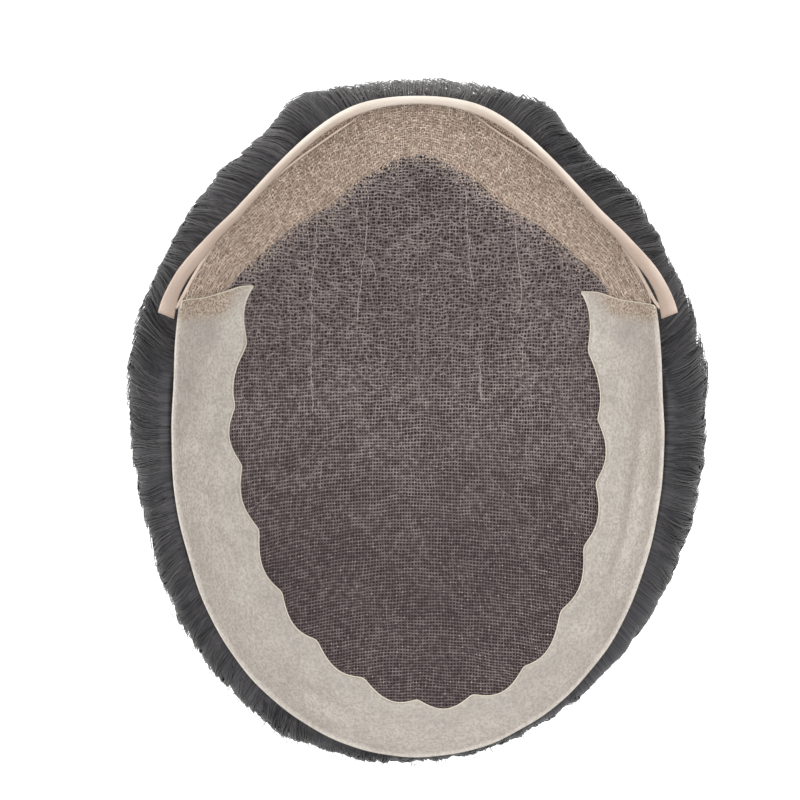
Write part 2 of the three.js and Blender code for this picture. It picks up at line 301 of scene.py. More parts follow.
def lay_cloth(name, columns, rows, place, thickness=0.0, closes=False):
    """A cloth of columns by rows, whose point (a, b) of the unit square goes to place(a, b).
    In a cloth that closes, the points that meet become one."""
    bpy.ops.mesh.primitive_grid_add(x_subdivisions=columns, y_subdivisions=rows, size=2)
    cloth = bpy.context.object
    cloth.name = cloth.data.name = name
    flat = np.zeros(len(cloth.data.vertices) * 3)
    cloth.data.vertices.foreach_get("co", flat)
    flat = flat.reshape(-1, 3)
    a, b = (flat[:, 0] + 1) / 2, (flat[:, 1] + 1) / 2
    cloth.data.vertices.foreach_set("co", place(a, b).astype(np.float32).ravel())
    if closes:
        change_mesh(bpy.ops.mesh.remove_doubles, threshold=0.01 * mm)
    if thickness:
        modifier = cloth.modifiers.new("thickness", "SOLIDIFY")
        modifier.thickness = thickness
        modifier.offset = 0
        bpy.ops.object.modifier_apply(modifier=modifier.name)
    change_mesh(bpy.ops.mesh.normals_make_consistent, inside=False)
    bpy.ops.object.shade_smooth()
    bpy.ops.object.select_all(action="DESELECT")
    print(name, triangle_count(cloth), "triangles")
    return cloth


def points_of(piece):
    flat = np.zeros(len(piece.data.vertices) * 3)
    piece.data.vertices.foreach_get("co", flat)
    return flat.reshape(-1, 3)


def paint(piece, name, values):
    """Stores a number for each point, which a material reads by its name."""
    layer = piece.data.attributes.new(name, "FLOAT", "POINT")
    layer.data.foreach_set("value", np.asarray(values, np.float32))


def plan_of(points):
    """The turn and share of points, as seen from above."""
    x, y = points[..., 0] - cap_place[0], points[..., 1] - cap_place[1]
    length = np.where(y > 0, front_length, back_length)
    turn = np.mod(np.degrees(np.arctan2(x / half_width, y / length)), 360)
    return turn, np.hypot(x, y) / rim_reach(turn)


# %% Tubes between points
def add_mesh(name, vertices, quads, triangles):
    mesh = bpy.data.meshes.new(name)
    mesh.from_pydata(vertices.tolist(), [], quads.tolist() + triangles.tolist())
    mesh.polygons.foreach_set("use_smooth", np.ones(len(mesh.polygons), bool))
    piece = bpy.data.objects.new(name, mesh)
    bpy.context.scene.collection.objects.link(piece)
    print(name, triangle_count(piece), "triangles")
    return piece


def tube_shell(paths, radius, tone, joined=None, sides=3, side_hint=(0, 0, 1)):
    """Tubes along the rows of paths, an array of rows by points by 3.

    A tube runs from a point to the next where joined is true, and all along the row without it.
    Returns the shell's vertices, its quads, the faces at its ends and the tone of each vertex.
    """
    rows, count = paths.shape[:2]
    if joined is None:
        joined = np.ones((rows, count - 1), bool)
    tangent = unit(np.gradient(paths, axis=1))
    hint = np.broadcast_to(np.asarray(side_hint, float), paths.shape)
    side = unit(np.cross(tangent, hint))
    up = np.cross(side, tangent)
    angles = math.pi / 2 + 2 * math.pi * np.arange(sides) / sides
    radius = np.broadcast_to(radius, (rows, count))[..., None, None]
    ring = (
        side[:, :, None, :] * np.cos(angles)[None, None, :, None]
        + up[:, :, None, :] * np.sin(angles)[None, None, :, None]
    )
    vertices = paths[:, :, None, :] + ring * radius
    index = np.arange(rows * count * sides).reshape(rows, count, sides)
    here, there = index[:, :-1][joined], index[:, 1:][joined]
    after = np.roll(np.arange(sides), -1)
    quads = np.stack([here, here[:, after], there[:, after], there], -1).reshape(-1, 4)
    starts = joined & ~np.pad(joined, ((0, 0), (1, 0)))[:, :-1]
    stops = joined & ~np.pad(joined, ((0, 0), (0, 1)))[:, 1:]
    ends = np.concatenate([index[:, :-1][starts][:, ::-1], index[:, 1:][stops]])
    tones = np.broadcast_to(tone, (rows, count))[..., None].repeat(sides, -1)
    used = np.unique(np.concatenate([quads.ravel(), ends.ravel()]))
    renumber = np.zeros(rows * count * sides, int)
    renumber[used] = np.arange(len(used))
    vertices = vertices.reshape(-1, 3)[used]
    return vertices, renumber[quads], renumber[ends], tones.ravel()[used]


def with_next(shown):
    """True where a point and the next one in its row both show."""
    return shown[:, :-1] & shown[:, 1:]


def tubes(name, shells):
    """One piece from several tube shells, with their tones as an attribute."""
    vertices, quads, ends, tones = [], [], [], []
    start = 0
    for shell in shells:
        vertices.append(shell[0])
        quads.append(shell[1] + start)
        ends.append(shell[2] + start)
        tones.append(shell[3])
        start += len(shell[0])
    piece = add_mesh(
        name, np.concatenate(vertices), np.concatenate(quads), np.concatenate(ends)
    )
    paint(piece, "tone", np.concatenate(tones))
    return piece


def ripple(x, y, seed, size):
    """A smooth irregular field between about -1 and 1, the same on each run."""
    rng = np.random.default_rng(seed)
    total = np.zeros(np.broadcast(x, y).shape)
    for _ in range(6):
        heading, phase = rng.uniform(0, 2 * math.pi, 2)
        wave = rng.uniform(0.6, 1.6) * 2 * math.pi / size
        total += np.sin((x * math.cos(heading) + y * math.sin(heading)) * wave + phase)
    return total / 3


# %% [markdown]
# ## Materials
#
# Colours were judged from the photograph and are written as screen values, which the shader needs
# as linear ones. A finish here is a Principled shader whose colour is mixed from two tones by noise,
# by a thread's own tone or by a painted attribute, with a bump for what is finer than the mesh.

# %% Helpers for materials
def colour(red, green, blue):
    """A screen colour, 0 to 255, as the linear colour that a shader takes."""
    linear = [
        c / 12.92 if c <= 0.04045 else ((c + 0.055) / 1.055) ** 2.4
        for c in (red / 255, green / 255, blue / 255)
    ]
    return (*linear, 1.0)


class Finish:
    """A material under construction: its node tree with short ways to add to it."""

    def __init__(self, name, roughness, specular=0.5):
        self.material = bpy.data.materials.new(name)
        self.material.use_nodes = True
        self.nodes = self.material.node_tree.nodes
        self.links = self.material.node_tree.links
        self.shader = self.nodes["Principled BSDF"]
        self.shader.inputs["Roughness"].default_value = roughness
        self.shader.inputs["Specular IOR Level"].default_value = specular

    def attribute(self, name, output="Fac"):
        node = self.nodes.new("ShaderNodeAttribute")
        node.attribute_name = name
        return node.outputs[output]

    def object_place(self):
        return self.nodes.new("ShaderNodeTexCoord").outputs["Object"]

    def noise(self, size, detail=3, stretch=(1, 1, 1), vector=None):
        """Noise whose blobs are about size metres wide, times stretch along each axis."""
        mapping = self.nodes.new("ShaderNodeMapping")
        mapping.inputs["Scale"].default_value = [1 / size / s for s in stretch]
        self.links.new(vector or self.object_place(), mapping.inputs["Vector"])
        node = self.nodes.new("ShaderNodeTexNoise")
        node.inputs["Scale"].default_value = 1
        node.inputs["Detail"].default_value = detail
        self.links.new(mapping.outputs["Vector"], node.inputs["Vector"])
        return node.outputs["Fac"]

    def between(self, value, low, high):
        """Stretches a value so that low gives 0 and high gives 1."""
        node = self.nodes.new("ShaderNodeMapRange")
        node.inputs["From Min"].default_value = low
        node.inputs["From Max"].default_value = high
        self.links.new(value, node.inputs["Value"])
        return node.outputs["Result"]

    def mix(self, factor, a, b):
        """Goes from colour a to colour b. A Mix node's colour sockets are 6, 7 and, coming out, 2."""
        node = self.nodes.new("ShaderNodeMix")
        node.data_type = "RGBA"
        for socket, value in zip((0, 6, 7), (factor, a, b)):
            if isinstance(value, (tuple, float, int)):
                node.inputs[socket].default_value = value
            else:
                self.links.new(value, node.inputs[socket])
        return node.outputs[2]

    def up_to(self, most, factor):
        """A factor that ends at a grey, given as a screen value, and not at 1."""
        return self.mix(factor, colour(0, 0, 0), colour(most, most, most))

    def paint_layers(self, base, layers):
        """Lays colours over a base, each where its factor says."""
        for factor, over in layers:
            base = self.mix(factor, base, over)
        self.paint_with(base)

    def paint_with(self, value):
        self.links.new(value, self.shader.inputs["Base Color"])

    def bump(self, height, depth, strength=1.0):
        node = self.nodes.new("ShaderNodeBump")
        node.inputs["Distance"].default_value = depth
        node.inputs["Strength"].default_value = strength
        self.links.new(height, node.inputs["Height"])
        self.links.new(node.outputs["Normal"], self.shader.inputs["Normal"])

    def put_on(self, *pieces):
        for piece in pieces:
            piece.data.materials.clear()
            piece.data.materials.append(self.material)


def noise_finish(name, roughness, specular, size, dark, light, *pieces):
    """A finish between two colours, by noise with blobs of about this size."""
    finish = Finish(name, roughness, specular)
    finish.paint_with(finish.mix(finish.noise(size), dark, light))
    finish.put_on(*pieces)


def tone_finish(name, roughness, specular, span, dark, light, *pieces):
    """A finish between two colours, by the pieces' own tones over a span of them."""
    finish = Finish(name, roughness, specular)
    part = finish.between(finish.attribute("tone"), *span)
    finish.paint_with(finish.mix(part, dark, light))
    finish.put_on(*pieces)


# %% [markdown]
# ## The dark net of the crown
#
# The centre is a fine monofilament net with about 1 mm between its threads. Rather than a
# picture of a net, each thread is a real tube that passes over one neighbour and under the next.
# The net lies on a dark sheer ground, which stands for the knotted hair that shows through it.
# Towards the front the threads lie less evenly.

# %% Ground under the net
mesh_depth = lace_level + 0.85 * mm
ground_thickness = 0.2 * mm


def mesh_outer_share(turn):
    seam = seam_gap / rim_reach(turn)
    below_hem, near_rim = hem_inner_share(turn) - seam, 1 - 6 * seam
    top = below_hem + (near_rim - below_hem) * behind_ear(turn)
    return np.minimum(top, lace_inner_share(turn) + 2.2 * seam)


def on_ground(a, b):
    turn = 360 * a
    angle = rim_steepness * b
    share = np.sin(angle) / math.sin(rim_steepness) * mesh_outer_share(turn)
    return wall(turn, share, mesh_depth)


mesh_ground = lay_cloth("mesh_ground", 180, 36, on_ground, ground_thickness, closes=True)

# %% Threads of the net
net_pitch = 1.13 * mm
column_pitch = 0.98 * mm
net_radius = 0.3 * mm
net_weave = 0.13 * mm
net_depth = lace_level + 0.35 * mm
net_margin = 1.5 * mm
least_radius, most_radius = 0.14 * mm, 0.46 * mm
front_unevenness = 0.16 * mm

# The threads that run along are thinner and darker than those across
along_thickness = 0.72
along_darker = 0.12

# From this turn on the skin reaches the rim, and beyond the other there is no lace beside the net
skin_to_rim_turn = 71
last_lace_turn = 72

# The net closes up towards the steep sides as if it lay on a drum of this radius
drum_across = 84 * mm
drum_along = 150 * mm

# How far the cross threads bow at this distance from the middle, and less so on the right
bow_depth = 4 * mm
bow_distance = 60 * mm
bow_on_right = 0.6


def net_plan(u, v):
    """Where a place on the flat net lies, seen from above. Its cross threads bow away from the
    crown behind it."""
    x = drum_across * np.sin(u / drum_across)
    y = drum_along * np.sin(v / drum_along)
    bow = smooth_step((25 * mm - y) / (50 * mm)) + smooth_step(-y / (60 * mm))
    bow = bow_depth * bow * np.where(x < 0, 1, bow_on_right) * (x / bow_distance) ** 2
    x = x + 0.25 * mm * ripple(u, v, 11, 17 * mm)
    y = y - bow + 0.3 * mm * ripple(u, v, 12, 19 * mm)
    return np.stack([x, y], -1)


def on_cap(plan, depth):
    turn, share = plan_of(np.asarray(plan) + cap_place[:2])
    return wall(turn, share, depth), turn, share


columns = np.arange(-74, 75)
rows = np.arange(-92, 88)
u, v = np.meshgrid(columns * column_pitch, rows * net_pitch)
rng = np.random.default_rng(21)
uneven = 0.07 * mm + front_unevenness * smooth_step((v + 15 * mm) / (70 * mm))
jitter = rng.normal(0, 1, (*u.shape, 2)) * uneven[..., None]
over = np.where((columns[None, :] + rows[:, None]) % 2 == 0, 1.0, -1.0)
crossings, net_turn, net_share = on_cap(net_plan(u, v) + jitter, net_depth - over * net_weave)
crossings_under, _, _ = on_cap(net_plan(u, v) + jitter, net_depth + over * net_weave)


def uncovered(turn, share, margin):
    """True where neither the skin nor the lace covers the net, or within a margin of their edges."""
    edge = margin / rim_reach(turn)
    under_skin = (from_front(turn) > horn_turn) & (share > skin_inner_share(turn) + edge)
    under_skin &= (share < skin_front_share(turn) - edge) | (from_front(turn) > skin_to_rim_turn)
    return ~under_skin & (share < lace_inner_share(turn) + 0.3 * edge)


def lace_distance(turn, share):
    return (lace_inner_share(turn) - share) * rim_reach(turn)


shown = uncovered(net_turn, net_share, net_margin)
near_lace = np.where(
    from_front(net_turn) < last_lace_turn, lace_distance(net_turn, net_share), 1
)
near_lace = np.clip(1 - near_lace / (7 * mm), 0, 1)
thread_tone = rng.normal(0.5, 0.32, u.shape) + 0.12 * ripple(u, v, 13, 9 * mm) + 0.35 * near_lace
thickness = net_radius * (1 + 0.1 * ripple(u, v, 14, 23 * mm) + rng.normal(0, 0.16, u.shape))
thickness = np.clip(thickness, least_radius, most_radius)
across = tube_shell(crossings, thickness, thread_tone, with_next(shown))
along = tube_shell(
    crossings_under.swapaxes(0, 1), thickness.T * along_thickness, thread_tone.T - along_darker,
    with_next(shown.T),
)
mesh_net = tubes("mesh_net", [across])
mesh_net_along = tubes("mesh_net_along", [along])

# %% [markdown]
# ## Knots and stitches
#
# Where hair is knotted to the net, small pale loops catch the light. Each is an eight-sided bead on
# a crossing. A few long pale threads run from the front to the back and across, as loose tacking
# stitches that dive under the net again and again.

# %% Knots
def beads(name, centres, radii, tone):
    """Small eight-sided beads at centres."""
    corners = np.array([
        (1, 0, 0), (-1, 0, 0), (0, 1, 0), (0, -1, 0), (0, 0, 1), (0, 0, -1),
    ], float)
    faces = np.array([
        (0, 2, 4), (2, 1, 4), (1, 3, 4), (3, 0, 4), (2, 0, 5), (1, 2, 5), (3, 1, 5), (0, 3, 5),
    ])
    vertices = centres[:, None, :] + corners[None] * radii[:, None, None]
    index = faces[None] + len(corners) * np.arange(len(centres))[:, None, None]
    piece = add_mesh(name, vertices.reshape(-1, 3), np.zeros((0, 4), int), index.reshape(-1, 3))
    paint(piece, "tone", np.repeat(tone, len(corners)))
    return piece


inside = uncovered(net_turn, net_share, -0.4 * mm)
knot_chance = 0.13 + 0.07 * ripple(u, v, 15, 14 * mm) + 0.4 * near_lace
knotted = inside & (rng.random(u.shape) < knot_chance)
knot_centres, _, _ = on_cap((net_plan(u, v) + jitter)[knotted], net_depth - 0.36 * mm)
knot_radii = rng.uniform(0.16, 0.3, len(knot_centres)) * mm
knots = beads("mesh_knots", knot_centres, knot_radii, rng.random(len(knot_centres)))

# %% Stitches
stitch_radius = 0.16 * mm
stitch_length = 2.3 * mm
stitch_lift = 0.12 * mm
stitch_dive = 0.36 * mm

# Each stitched line as places (x, y) in millimetres from the crown, seen from above
stitch_lines = [
    [(-32.4, 66), (-32.7, 56.5), (-33.7, 50.5), (-34.6, 45.1), (-34.6, 2.2)],
    [(-16.2, 76.2), (-16.2, 65.1), (-17.1, 54.9), (-18.4, 47.3), (-19.7, 32.4)],
    [(-21, 10.8), (-20, 9.2)],
    [(-20, 68.9), (-19.1, 66)],
    [(-15.6, 53), (-14.3, 51.1), (-13, 47.6)],
    [(15.9, 74.6), (16.2, 63.2), (17, 57.2), (17.1, 52.7), (18.7, 43.8)],
    [(20.6, 67.9), (19.4, 65.1)],
    [(32.1, 62.5), (32.1, 57.2), (33, 52.7), (34.3, 43.5), (34.3, 37.1), (32.7, 34.3)],
    [(34.5, 25.4), (34.9, 14.6)],
    [(21, 18.4), (21, 6.4)],
]
faint_lines = [
    [(34.9, 17.5), (39.4, 17.5)],
    [(33, 15.4), (41, 15.2)],
    [(35.2, 6.7), (46.7, 6.7)],
    [(-31.1, 9.2), (-19.4, 9.2)],
    [(-11.1, 6.7), (4.1, 6.7)],
    [(0.5, 70), (0.5, 1)],
    [(-23.2, -3.2), (-56.5, -31.8)],
    [(-27.9, -9.5), (-37.5, -22.2)],
    [(3, 12), (14, 26)],
    [(-4, 3), (-15, 18)],
    [(4, -3), (14, -15)],
    [(-30, 30), (-44, 44)],
    [(41, 45), (52, 38)],
    [(24, -20), (40, -34)],
]


def stitch_shell(line, radius, tone, seed):
    corners = np.array(line) * mm
    legs = np.linalg.norm(np.diff(corners, axis=0), axis=1)
    run = np.concatenate([[0], np.cumsum(legs)])
    at = np.linspace(0, run[-1], max(int(run[-1] / (0.55 * mm)), 4))
    x, y = np.interp(at, run, corners[:, 0]), np.interp(at, run, corners[:, 1])
    sway = 0.25 * mm * ripple(at, 0 * at, seed, 9 * mm)
    dive = stitch_dive * np.sin(2 * math.pi * at / stitch_length + seed)
    points, _, _ = on_cap(np.stack([x + sway, y + sway], -1), net_depth - stitch_lift - dive)
    return tube_shell(points[None], radius, tone)


stitch_shells = [
    stitch_shell(line, stitch_radius, 0.9, 40 + number) for number, line in enumerate(stitch_lines)
]
stitch_shells += [
    stitch_shell(line, 0.75 * stitch_radius, 0.2, 70 + number)
    for number, line in enumerate(faint_lines)
]
stitches = tubes("mesh_stitches", stitch_shells)

# %% Finishes of the net
noise_finish(
    "sheer_dark_ground", 0.9, 0.2, 3 * mm, colour(56, 47, 49), colour(80, 69, 70), mesh_ground,
)

net_finish = Finish("grey_brown_net", 0.75, 0.35)
light_part = net_finish.between(net_finish.attribute("tone"), 0.1, 0.9)
net_colour = net_finish.mix(light_part, colour(126, 115, 113), colour(178, 166, 163))
patches = net_finish.between(net_finish.noise(26 * mm, 2), 0.35, 0.65)
patched = net_finish.mix(0.25, net_colour, colour(90, 80, 80))
net_colour = net_finish.mix(patches, net_colour, patched)
place_parts = net_finish.nodes.new("ShaderNodeSeparateXYZ")
net_finish.links.new(net_finish.object_place(), place_parts.inputs["Vector"])
towards_back = net_finish.between(place_parts.outputs["Y"], 0, -50 * mm)
shaded = net_finish.mix(0.42, net_colour, colour(66, 55, 57))
net_finish.paint_with(net_finish.mix(towards_back, net_colour, shaded))
net_finish.put_on(mesh_net, mesh_net_along)

tone_finish(
    "pale_knots", 0.6, 0.4, (0, 1), colour(150, 140, 137), colour(206, 195, 189), knots, stitches,
)

# %% [markdown]
# ## The lace front
#
# Lace for a front hairline is a honeycomb net, finer than the crown's, in a skin tone. Its rows
# are zigzag threads, and every second point is linked to the next row, which closes the cells. A
# tan ground under it stands for the layers of lace and the roots that fill the cells.

# %% Ground of the lace
lace_depth = lace_level + 0.75 * mm
lace_end_turn = 72.5


def lace_outer_share(turn):
    """The lace runs up to the hem, and near the ears only to the inner fold."""
    reach = rim_reach(turn)
    slit = smooth_step((from_front(turn) - 56) / 6)
    end = smooth_step((from_front(turn) - 68) / 4)
    return 1 - (2.4 + 0.6 * slit + 2.0 * end) * mm / reach


def on_lace(a, b):
    turn = lace_end_turn * (2 * a - 1)
    outer = lace_outer_share(turn)
    inner = np.minimum(lace_inner_share(turn), outer - 0.5 * mm / rim_reach(turn))
    return wall(turn, inner + (outer - inner) * b, lace_depth)


lace_ground = lay_cloth("lace_ground", 150, 16, on_lace, ground_thickness)

# %% Honeycomb of the lace
lace_pitch = 0.92 * mm
lace_radius = 0.2 * mm
lace_rows = 21
half_front_line = 118 * mm
lace_columns = int(2 * half_front_line / lace_pitch)
lace_zigzag = 0.24
lace_unevenness = 0.24
row_number = np.arange(lace_rows)[:, None]
column_number = np.arange(lace_columns)[None, :]
zigzag = np.where((row_number + column_number) % 2 == 0, lace_zigzag, -lace_zigzag)
lace_turn = lace_end_turn * (2 * column_number / (lace_columns - 1) - 1)
lace_turn = np.broadcast_to(lace_turn, (lace_rows, lace_columns))
wobble = rng.normal(0, lace_unevenness, (lace_rows, lace_columns, 2))
inner, outer = lace_inner_share(lace_turn), lace_outer_share(lace_turn)
fraction = (row_number + 0.5 + zigzag + wobble[..., 0]) / lace_rows
fraction += 0.012 * ripple(row_number * 1.0, column_number * 1.0, 31, 9)
lace_share = inner + (outer - inner) * np.clip(fraction, 0, 1)
turn_wobble = wobble[..., 1] * np.degrees(lace_pitch / rim_reach(lace_turn))
lift = rng.normal(0, 0.13 * mm, lace_share.shape)
lace_points = wall(lace_turn + turn_wobble, lace_share, lace_depth - 0.3 * mm + lift)
wide_enough = (outer - inner) * rim_reach(lace_turn) > 3 * lace_pitch
lace_tone = rng.normal(0.5, 0.35, lace_share.shape)
row_threads = tube_shell(lace_points, lace_radius, lace_tone, with_next(wide_enough))
linked = ((row_number + column_number) % 2 == 1) & wide_enough
link_threads = tube_shell(lace_points.swapaxes(0, 1), lace_radius, lace_tone.T, linked.T[:, :-1])
lace_net = tubes("lace_net", [row_threads, link_threads])

# %% Flecks of lace that lie scattered over the first rows of the net
fleck_count = 1100
last_fleck_turn = 57
fleck_spread = 1.5
fleck_turn = rng.uniform(-last_fleck_turn, last_fleck_turn, fleck_count)
fleck_inset = rng.exponential(fleck_spread, fleck_count) * mm - 0.6 * mm
fleck_share = lace_inner_share(fleck_turn) - fleck_inset / rim_reach(fleck_turn)
fleck_centres = wall(fleck_turn, fleck_share, net_depth - 0.32 * mm)
fleck_radii = rng.uniform(0.18, 0.34, fleck_count) * mm
lace_flecks = beads("lace_flecks", fleck_centres, fleck_radii, rng.random(fleck_count) * 0.7)

# %% Finishes of the lace
lace_ground_finish = Finish("tan_ground", 0.85, 0.3)
specks = lace_ground_finish.between(lace_ground_finish.noise(0.8 * mm, 2), 0.42, 0.62)
lace_ground_finish.paint_with(
    lace_ground_finish.mix(specks, colour(136, 114, 99), colour(188, 168, 152))
)
lace_ground_finish.put_on(lace_ground)

tone_finish(
    "tan_lace", 0.7, 0.35, (0, 1), colour(182, 162, 146), colour(244, 228, 213),
    lace_net, lace_flecks,
)

# %% [markdown]
# ## The folded hem
#
# Along the front the lace is folded outwards into a pale hem. Its section is a thin flat loop,
# wider near the temples, where it ends in a pointed ear. A second, narrow fold runs just inside it.
# It parts from the hem beside the middle and near the ears, where a slit stays open between them.

# %% Hem band
hem_thickness = 1.3 * mm
hem_cloth = 0.3 * mm

# How far the hem's edges stand outside the rim, in millimetres seen from above
hem_outer = curve_through([
    (0, 0.9), (8, 1.2), (15, 1.5), (25, 0.8), (36, 0.4), (46, 0.5), (56, 1.1), (65, 3.1), (73, 5.0),
])
hem_inner = curve_through([
    (0, -1.3), (15, -1.4), (30, -2.0), (45, -1.9), (58, -1.7), (62, -1.2), (65, -0.5), (69, 0.4),
    (71, 0.4), (73, 0.3),
])

# How steeply the hem rises outwards, in degrees
hem_rise = curve_through([(0, 24), (35, 32), (56, 42), (65, 46), (73, 48)])

# The folded strip's section, from its lower inner edge round the fold to its upper inner edge:
# how far across the hem and how high, as shares
hem_section = np.array([
    (0.1, -0.3), (0.3, -0.1), (0.55, 0.1), (0.8, 0.26), (0.95, 0.38), (1.0, 0.55),
    (0.98, 0.74), (0.9, 0.88), (0.7, 0.93), (0.46, 0.9), (0.24, 0.82), (0.08, 0.66),
    (0.0, 0.3),
])


def hem_place(turn, across, height):
    near, far = hem_inner(from_front(turn)) * mm, hem_outer(from_front(turn)) * mm
    width = far - near
    base = wall(turn, 1 - np.maximum(-near, 0.4 * mm) / rim_reach(turn), 0.7 * mm)
    reach = rim_reach(turn) + near + across * width
    plan = unit(rim_point(turn)) * reach[..., None] + cap_place[:2]
    tilt = np.tan(np.radians(hem_rise(from_front(turn))))
    z = base[..., 2] - 1.2 * mm + across * width * tilt + height * hem_thickness
    return np.concatenate([plan, z[..., None]], -1)


def on_hem(a, b):
    turn = ear_turn * (2 * a - 1)
    step = b * (len(hem_section) - 1)
    across = np.interp(step, np.arange(len(hem_section)), hem_section[:, 0])
    height = np.interp(step, np.arange(len(hem_section)), hem_section[:, 1])
    wave = 0.06 * ripple(turn, 0 * turn, 51, 9)
    return hem_place(turn, across, height + wave)


hem = lay_cloth("lace_hem_band", 220, 3 * (len(hem_section) - 1), on_hem, hem_cloth)
hem_turn, hem_share = plan_of(points_of(hem))
hem_around = from_front(hem_turn)
paint(hem, "to_ear", smooth_step((hem_around - 22) / 40))
hem_across = (hem_share - 1) * rim_reach(hem_turn) / mm - hem_inner(hem_around)
hem_across = hem_across / (hem_outer(hem_around) - hem_inner(hem_around))
at_side = 0.35 + 0.65 * smooth_step((hem_around - 6) / 18)
paint(hem, "inwards", at_side * (1 - smooth_step((hem_across - 0.28) / 0.5)))

# %% Inner fold
fold_start, fold_end = 13, 70.6

# How far the fold lies inside the rim, in millimetres seen from above, on the right and the left
right_fold = curve_through([
    (12, 2.2), (16, 3.4), (21, 4.3), (27, 3.9), (33, 3.1), (40, 2.1), (50, 1.9), (60, 2.6),
    (65, 2.5), (69, 1.6), (71, 0.6),
])
left_fold = curve_through([
    (12, 2.2), (17, 3.6), (24, 4.3), (31, 3.7), (39, 2.7), (50, 1.9), (60, 2.6), (65, 2.4),
    (69, 1.5), (71, 0.6),
])
fold_shells = []
for mirror, inset in ((1, right_fold), (-1, left_fold)):
    turns = np.linspace(fold_start, fold_end, 110)
    share = 1 - inset(turns) * mm / rim_reach(turns)
    points = wall(mirror * turns, share, lace_level - 0.35 * mm)[None]
    size = 0.15 + 0.25 * smooth_step((turns - fold_start) / 8)
    size = (size + 0.18 * smooth_step((turns - 52) / 12))[None] * mm
    fold_shells.append(tube_shell(points, size, 0.5, sides=6))
hem_fold = tubes("lace_hem_fold", fold_shells)

# %% Finish of the hem
hem_finish = Finish("pale_folded_lace", 0.6, 0.4)
blush = hem_finish.between(hem_finish.noise(12 * mm, 2), 0.35, 0.65)
cream = hem_finish.mix(blush, colour(232, 223, 211), colour(220, 208, 194))
blushed = hem_finish.mix(blush, colour(216, 197, 183), colour(198, 178, 164))
hem_colour = hem_finish.mix(hem_finish.attribute("to_ear"), cream, blushed)
tan_part = hem_finish.up_to(235, hem_finish.attribute("inwards"))
hem_finish.paint_with(hem_finish.mix(tan_part, hem_colour, colour(184, 164, 149)))
hem_finish.bump(hem_finish.noise(0.7 * mm, 3), 0.3 * mm, 0.7)
hem_finish.put_on(hem)

noise_finish(
    "lace_fold", 0.65, 0.35, 2 * mm, colour(196, 176, 160), colour(214, 196, 182), hem_fold,
)

# %% [markdown]
# ## The skin perimeter
#
# The band round the sides and back is a clear polyurethane film over a fine gauze. It is one thin
# shell with a scalloped inner edge, a few soft folds, and a raised bead where it was cut. The tan
# lace that shows through its front ends is painted on, and so are the greyer parts of the gauze,
# a painted shade just inside the scalloped edge and towards the back, and a painted highlight along
# the edges.

# %% Skin film
film_thickness = 0.6 * mm
film_depth = 0.45 * mm

# Each soft fold has a turn and its spread, a share and its width, and a rise in millimetres
skin_folds = [
    (106, 15, 0.925, 0.022, 1.3),
    (204, 8, 0.93, 0.02, 0.8),
    (250, 10, 0.9, 0.03, 0.5),
]


def fold_rise(turn, share):
    total = np.zeros(np.shape(turn))
    for fold_turn, spread, fold_share, width, rise in skin_folds:
        across = (share - fold_share) / width
        along = (turn - fold_turn) / spread
        total += rise * mm * np.exp(-(across**2) - along**2)
    return total


def horn_start(mirror):
    """The turn at which the skin's front line leaves its scalloped edge."""
    turns = np.mod(mirror * np.linspace(57.3, 66, 400), 360)
    width = (skin_front_share(turns) - skin_inner_share(turns)) * rim_reach(turns)
    return float(turns[np.argmax(width > 0.3 * mm)])


first_turn, last_turn = horn_start(1), horn_start(-1)
print("the skin's horns start at", round(first_turn, 1), "and", round(last_turn, 1))


def on_skin(a, b):
    turn = first_turn + (last_turn - first_turn) * a
    inner, outer = skin_inner_share(turn), skin_front_share(turn)
    outer = np.maximum(outer, inner + 0.4 * mm / rim_reach(turn))
    share = inner + (outer - inner) * b
    soft = 0.12 * mm * ripple(turn, share * 60, 61, 14)
    return wall(turn, share, film_depth - fold_rise(turn, share) + soft)


skin = lay_cloth("skin_film", 480, 18, on_skin, film_thickness)
skin_turn, skin_share = plan_of(points_of(skin))
reach = rim_reach(skin_turn)
inner_distance = (skin_share - skin_inner_share(skin_turn)) * reach
rim_distance = (skin_front_share(skin_turn) - skin_share) * reach
# The film is painted paler near its scalloped edge and, less, along the rim: partly the cut edge's own
# paleness, partly a painted highlight.
near_edge = np.maximum(1 - inner_distance / (1.0 * mm), 0.3 * (1 - rim_distance / (0.5 * mm)))
paint(skin, "near_edge", np.clip(near_edge, 0, 1))
paint(skin, "outwards", smooth_step(inner_distance / (inner_distance + rim_distance + 1e-6)))
around = from_front(skin_turn)
lace_end = 75 - 33 * (1 - skin_share)
over_lace = smooth_step((lace_end - around) / 3.2) * smooth_step((skin_share - 0.79) / 0.07)
paint(skin, "over_lace", over_lace)
# A grey patch by the ear, and painted shade: darker just inside the scalloped edge and towards the
# back.
grey_patch = np.exp(-(((around - 72.5) / 4) ** 2) - ((skin_share - 0.87) / 0.055) ** 2)
grey_patch += 0.6 * np.exp(-(((around - 82) / 8) ** 2) - ((skin_share - 0.94) / 0.05) ** 2)
inner_shade = 0.4 * np.exp(-(((inner_distance - 3.5 * mm) / (2.6 * mm)) ** 2))
back_shade = 0.45 * smooth_step((around - 100) / 50)
paint(skin, "shade", np.clip(grey_patch + inner_shade + back_shade, 0, 1))

# %% Bead along the skin's cut edge
bead_radius = 0.2 * mm
bead_end_turn = 70.5


def front_line(mirror, start):
    turns = mirror * np.linspace(bead_end_turn, start, 40)
    return wall(turns, skin_front_share(turns), 0.1 * mm)


scallop_turns = np.linspace(first_turn + 0.1, last_turn - 0.1, 900)
scallop_line = wall(scallop_turns, skin_inner_share(scallop_turns), 0.15 * mm)
bead_line = np.concatenate([
    front_line(1, first_turn + 0.1), scallop_line, front_line(-1, 360 - last_turn + 0.1)[::-1],
])[None]
skin_bead = tubes("skin_bead", [tube_shell(bead_line, bead_radius, 0.7, sides=6)])

